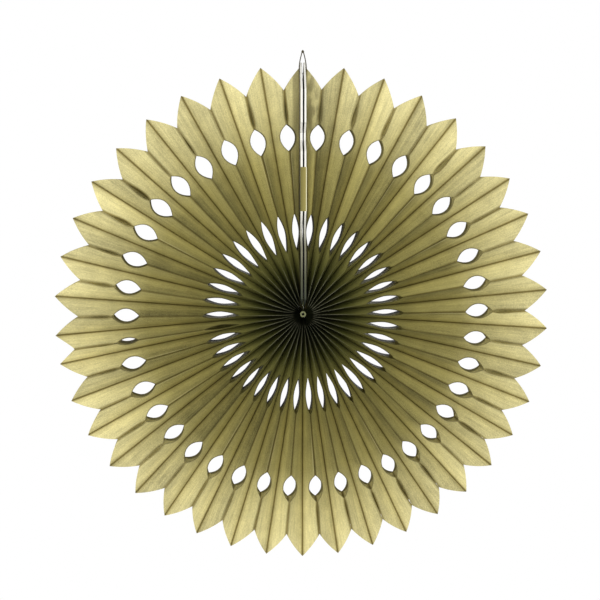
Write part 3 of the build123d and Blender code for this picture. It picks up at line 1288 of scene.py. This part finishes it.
@dataclass(frozen=True)
class HangingThread:
    """Thread through both cards, knotted over the seam."""

    diameter: float = 0.0008
    strand_gap: float = 0.00002
    beside: float = 0.00285
    hole: Point = (0.0, -0.0040, 0.1925)
    shoulder: float = 0.0090
    top: float = 0.0175
    rounding: float = 0.95
    round_steps: int = 4
    curve_steps: int = 12
    knot_width: float = 0.0023
    knot_height: float = 0.0024
    knot_flatness: float = 0.86
    knot_waist: float = 0.1
    knot_waves: int = 6
    knot_rings: int = 14
    knot_sides: int = 16

    def route(self) -> list[Point]:
        """Corners of the thread, the same as in the part.

        Returns:
            Points in metres.
        """
        end = -self.diameter / 2 - self.strand_gap
        half = [(end, self.top), (-self.beside, self.shoulder), (-self.beside, 0.0)]
        both = half + [(-x, z) for x, z in reversed(half)]
        return [(self.hole[0] + x, self.hole[1], self.hole[2] + z) for x, z in both]

    def build(self, material: bpy.types.Material) -> bpy.types.Object:
        """Make the thread and its knot.

        Args:
            material: Material of the thread.

        Returns:
            The thread.
        """
        points = self.route()
        curve = bpy.data.curves.new("hanging_cord", "CURVE")
        curve.dimensions = "3D"
        curve.bevel_depth = self.diameter / 2
        curve.bevel_resolution = self.round_steps
        curve.resolution_u = self.curve_steps
        curve.use_fill_caps = True
        spline = curve.splines.new("NURBS")
        spline.points.add(len(points) - 1)
        for point, where in zip(spline.points, points):
            point.co = (*where, 1.0)
        spline.order_u = 3
        spline.use_endpoint_u = True
        curve.materials.append(material)
        piece = add_object("hanging_cord", curve)
        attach(piece, "root")
        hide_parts("hanging_thread")
        self.knot(material)
        return piece

    def knot(self, material: bpy.types.Material) -> bpy.types.Object:
        """Make the knot that joins the thread's ends.

        Args:
            material: Material of the thread.

        Returns:
            The knot, a small round lump with a few turns of thread on it.
        """
        rings, sides = self.knot_rings, self.knot_sides
        centre = Vector((self.hole[0], self.hole[1], self.hole[2] + self.top))
        half = self.knot_height / 2
        tall = Vector((0.0, 0.0, half))
        vertices = [tuple(centre - tall), tuple(centre + tall)]
        for i in range(1, rings):
            up = pi * (i / rings - 0.5)
            turns = (1 - self.knot_waist) + self.knot_waist * cos(self.knot_waves * up)
            wide = self.knot_width / 2 * cos(up) * turns
            for j in range(sides):
                angle = 2 * pi * j / sides
                offset = Vector((wide * cos(angle), self.knot_flatness * wide * sin(angle), half * sin(up)))
                vertices.append(tuple(centre + offset))
        first, last = 2, 2 + (rings - 2) * sides
        faces = []
        for j in range(sides):
            after = (j + 1) % sides
            faces += [(0, first + after, first + j), (1, last + j, last + after)]
            for ring in range(first, last, sides):
                faces.append((ring + j, ring + after, ring + sides + after, ring + sides + j))
        mesh = bpy.data.meshes.new("thread_knot")
        mesh.from_pydata(vertices, [], faces)
        mesh.shade_smooth()
        mesh.materials.append(material)
        knot = add_object("thread_knot", mesh)
        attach(knot, "root")
        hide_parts("hanging_thread")
        log.info("piece %s", knot.name)
        return knot


@dataclass(frozen=True)
class TieEnds:
    """The two cut ends of the centre tie, tucked up between the cards."""

    diameter: float = 0.0005
    apart: float = 0.00027
    front: float = -0.0091
    low: float = 0.0021
    high: float = 0.0150
    points: int = 9
    wave: float = 0.0002
    wave_step: float = 1.3
    round_steps: int = 3

    def build(self, material: bpy.types.Material) -> bpy.types.Object:
        """Make both ends.

        Args:
            material: Material of the tie.

        Returns:
            The finished piece.
        """
        curve = bpy.data.curves.new("tie_ends", "CURVE")
        curve.dimensions = "3D"
        curve.bevel_depth = self.diameter / 2
        curve.bevel_resolution = self.round_steps
        curve.use_fill_caps = True
        heights = np.linspace(self.low, self.high, self.points)
        for side in (-1, 1):
            spline = curve.splines.new("POLY")
            spline.points.add(self.points - 1)
            for i, (point, z) in enumerate(zip(spline.points, heights)):
                y = self.front - self.wave * side * sin(self.wave_step * i)
                point.co = (side * self.apart, y, float(z), 1.0)
        curve.materials.append(material)
        piece = add_object("tie_ends", curve)
        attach(piece, "root")
        return piece


@dataclass(frozen=True)
class Lamp:
    """A soft square lamp that points at the hub.

    Attributes:
        name: Name of the lamp.
        place: Its position.
        size: Its width.
        power: Its power in watts.
    """

    name: str
    place: Point
    size: float
    power: float

    def build(self) -> None:
        """Add the lamp to the scene."""
        data = bpy.data.lights.new(self.name, "AREA")
        data.size = self.size
        data.energy = self.power
        lamp = add_object(self.name, data)
        lamp.location = self.place
        lamp.rotation_euler = (-Vector(self.place)).to_track_quat("-Z", "Y").to_euler()


@dataclass(frozen=True)
class Studio:
    """Camera, lamps, floor and background."""

    distance: float = 1.47
    azimuth: float = radians(-2.7)
    elevation: float = radians(5.1)
    aim: Point = (-0.0020, 0.0, 0.0106)
    focal_mm: float = 108.9
    sensor_mm: float = 36.0
    far_clip: float = 50.0
    key: Lamp = Lamp("key", (-0.22, -1.9, 0.40), 2.2, 52.0)
    rear: Lamp = Lamp("rear", (0.40, 1.9, 0.60), 2.0, 34.0)
    sky: float = 0.12
    floor_reach: float = 3.0
    floor_level: float = -1.2
    floor_shade: float = 0.8
    floor_lift: float = 0.7

    def camera(self) -> None:
        """Set up the camera at the photograph's viewing angle."""
        data = bpy.data.cameras.new("camera")
        data.lens = self.focal_mm
        data.sensor_width = self.sensor_mm
        data.clip_end = self.far_clip
        camera = add_object("camera", data)
        flat = self.distance * cos(self.elevation)
        rise = self.distance * sin(self.elevation)
        away = Vector((flat * sin(self.azimuth), -flat * cos(self.azimuth), rise))
        camera.location = Vector(self.aim) + away
        camera.rotation_euler = (-away).to_track_quat("-Z", "Y").to_euler()
        bpy.context.scene.camera = camera

    def seen(self, m: NodeMath) -> Socket:
        """Whether the camera looks at a place, directly, in a reflection or through glass.

        Args:
            m: Where the formula is written.

        Returns:
            One where it does.
        """
        path = m.new("ShaderNodeLightPath")
        direct = m.do("MAXIMUM", path.outputs["Is Camera Ray"], path.outputs["Is Glossy Ray"])
        return m.do("MAXIMUM", direct, path.outputs["Is Transmission Ray"])

    def world(self) -> None:
        """White surroundings that the camera sees as plain white, and that light the fan a little."""
        world = bpy.data.worlds.new("studio")
        world.use_nodes = True
        world.node_tree.nodes.clear()
        m = NodeMath(world.node_tree)
        light = m.add(self.sky, m.mul(self.seen(m), 1.0 - self.sky))
        background = m.new("ShaderNodeBackground")
        m.put(background.inputs["Color"], WHITE)
        m.put(background.inputs["Strength"], light)
        m.put(m.new("ShaderNodeOutputWorld").inputs["Surface"], background.outputs[0])
        bpy.context.scene.world = world

    def pale(self) -> bpy.types.Material:
        """The floor's pale matt material, which the camera sees lit a little more.

        Returns:
            The material.
        """
        material, m = new_material("pale_floor")
        matt = m.new("ShaderNodeBsdfDiffuse")
        m.put(matt.inputs["Color"], (self.floor_shade, self.floor_shade, self.floor_shade, 1.0))
        lift = m.new("ShaderNodeEmission")
        m.put(lift.inputs["Strength"], m.mul(self.seen(m), self.floor_lift))
        both = m.new("ShaderNodeAddShader")
        m.put(both.inputs[0], matt.outputs[0])
        m.put(both.inputs[1], lift.outputs[0])
        m.put(m.new("ShaderNodeOutputMaterial").inputs["Surface"], both.outputs[0])
        return material

    def floor(self) -> None:
        """Pale floor far below the hung fan."""
        mesh = bpy.data.meshes.new("floor")
        corners = [(x * self.floor_reach, y * self.floor_reach, self.floor_level)
                   for x, y in ((-1, -1), (1, -1), (1, 1), (-1, 1))]
        mesh.from_pydata(corners, [], [(0, 1, 2, 3)])
        mesh.materials.append(self.pale())
        floor = add_object("floor", mesh)

    def build(self) -> None:
        """Set up everything round the object."""
        self.camera()
        self.world()
        self.key.build()
        self.rear.build()
        self.floor()


def dress_nodes(finishes: dict[NodeLook, bpy.types.Material]) -> None:
    """Give the CAD nodes that stay in view their finishes.

    Args:
        finishes: Material of each node.
    """
    for look, material in finishes.items():
        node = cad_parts[look.value]
        node.data.materials.clear()
        node.data.materials.append(material)
        log.info("piece %s", look.value)


def main() -> None:
    """Build the fan's look and the studio."""
    logging.basicConfig(level=logging.INFO)
    bpy.context.scene.view_settings.view_transform = "Standard"
    tissue = TissueFinish().build()
    card = card_finish().build()
    band = band_finish().build()
    tie = tie_finish().build()
    dark = thread_finish().build()
    fan = TissueFan(FanSizes()).build(tissue)
    thread = HangingThread().build(dark)
    ends = TieEnds().build(tie)
    dress_nodes({
        NodeLook.END_CARD_LEFT: card,
        NodeLook.END_CARD_RIGHT: card,
        NodeLook.CLOSING_BAND: band,
        NodeLook.CENTRE_TIE: tie,
    })
    Studio().build()
    for piece in (fan, thread, ends):
        log.info("piece %s", piece.name)
    log.info("tissue faces %d", len(fan.data.polygons))


if __name__ == "__main__":
    main()
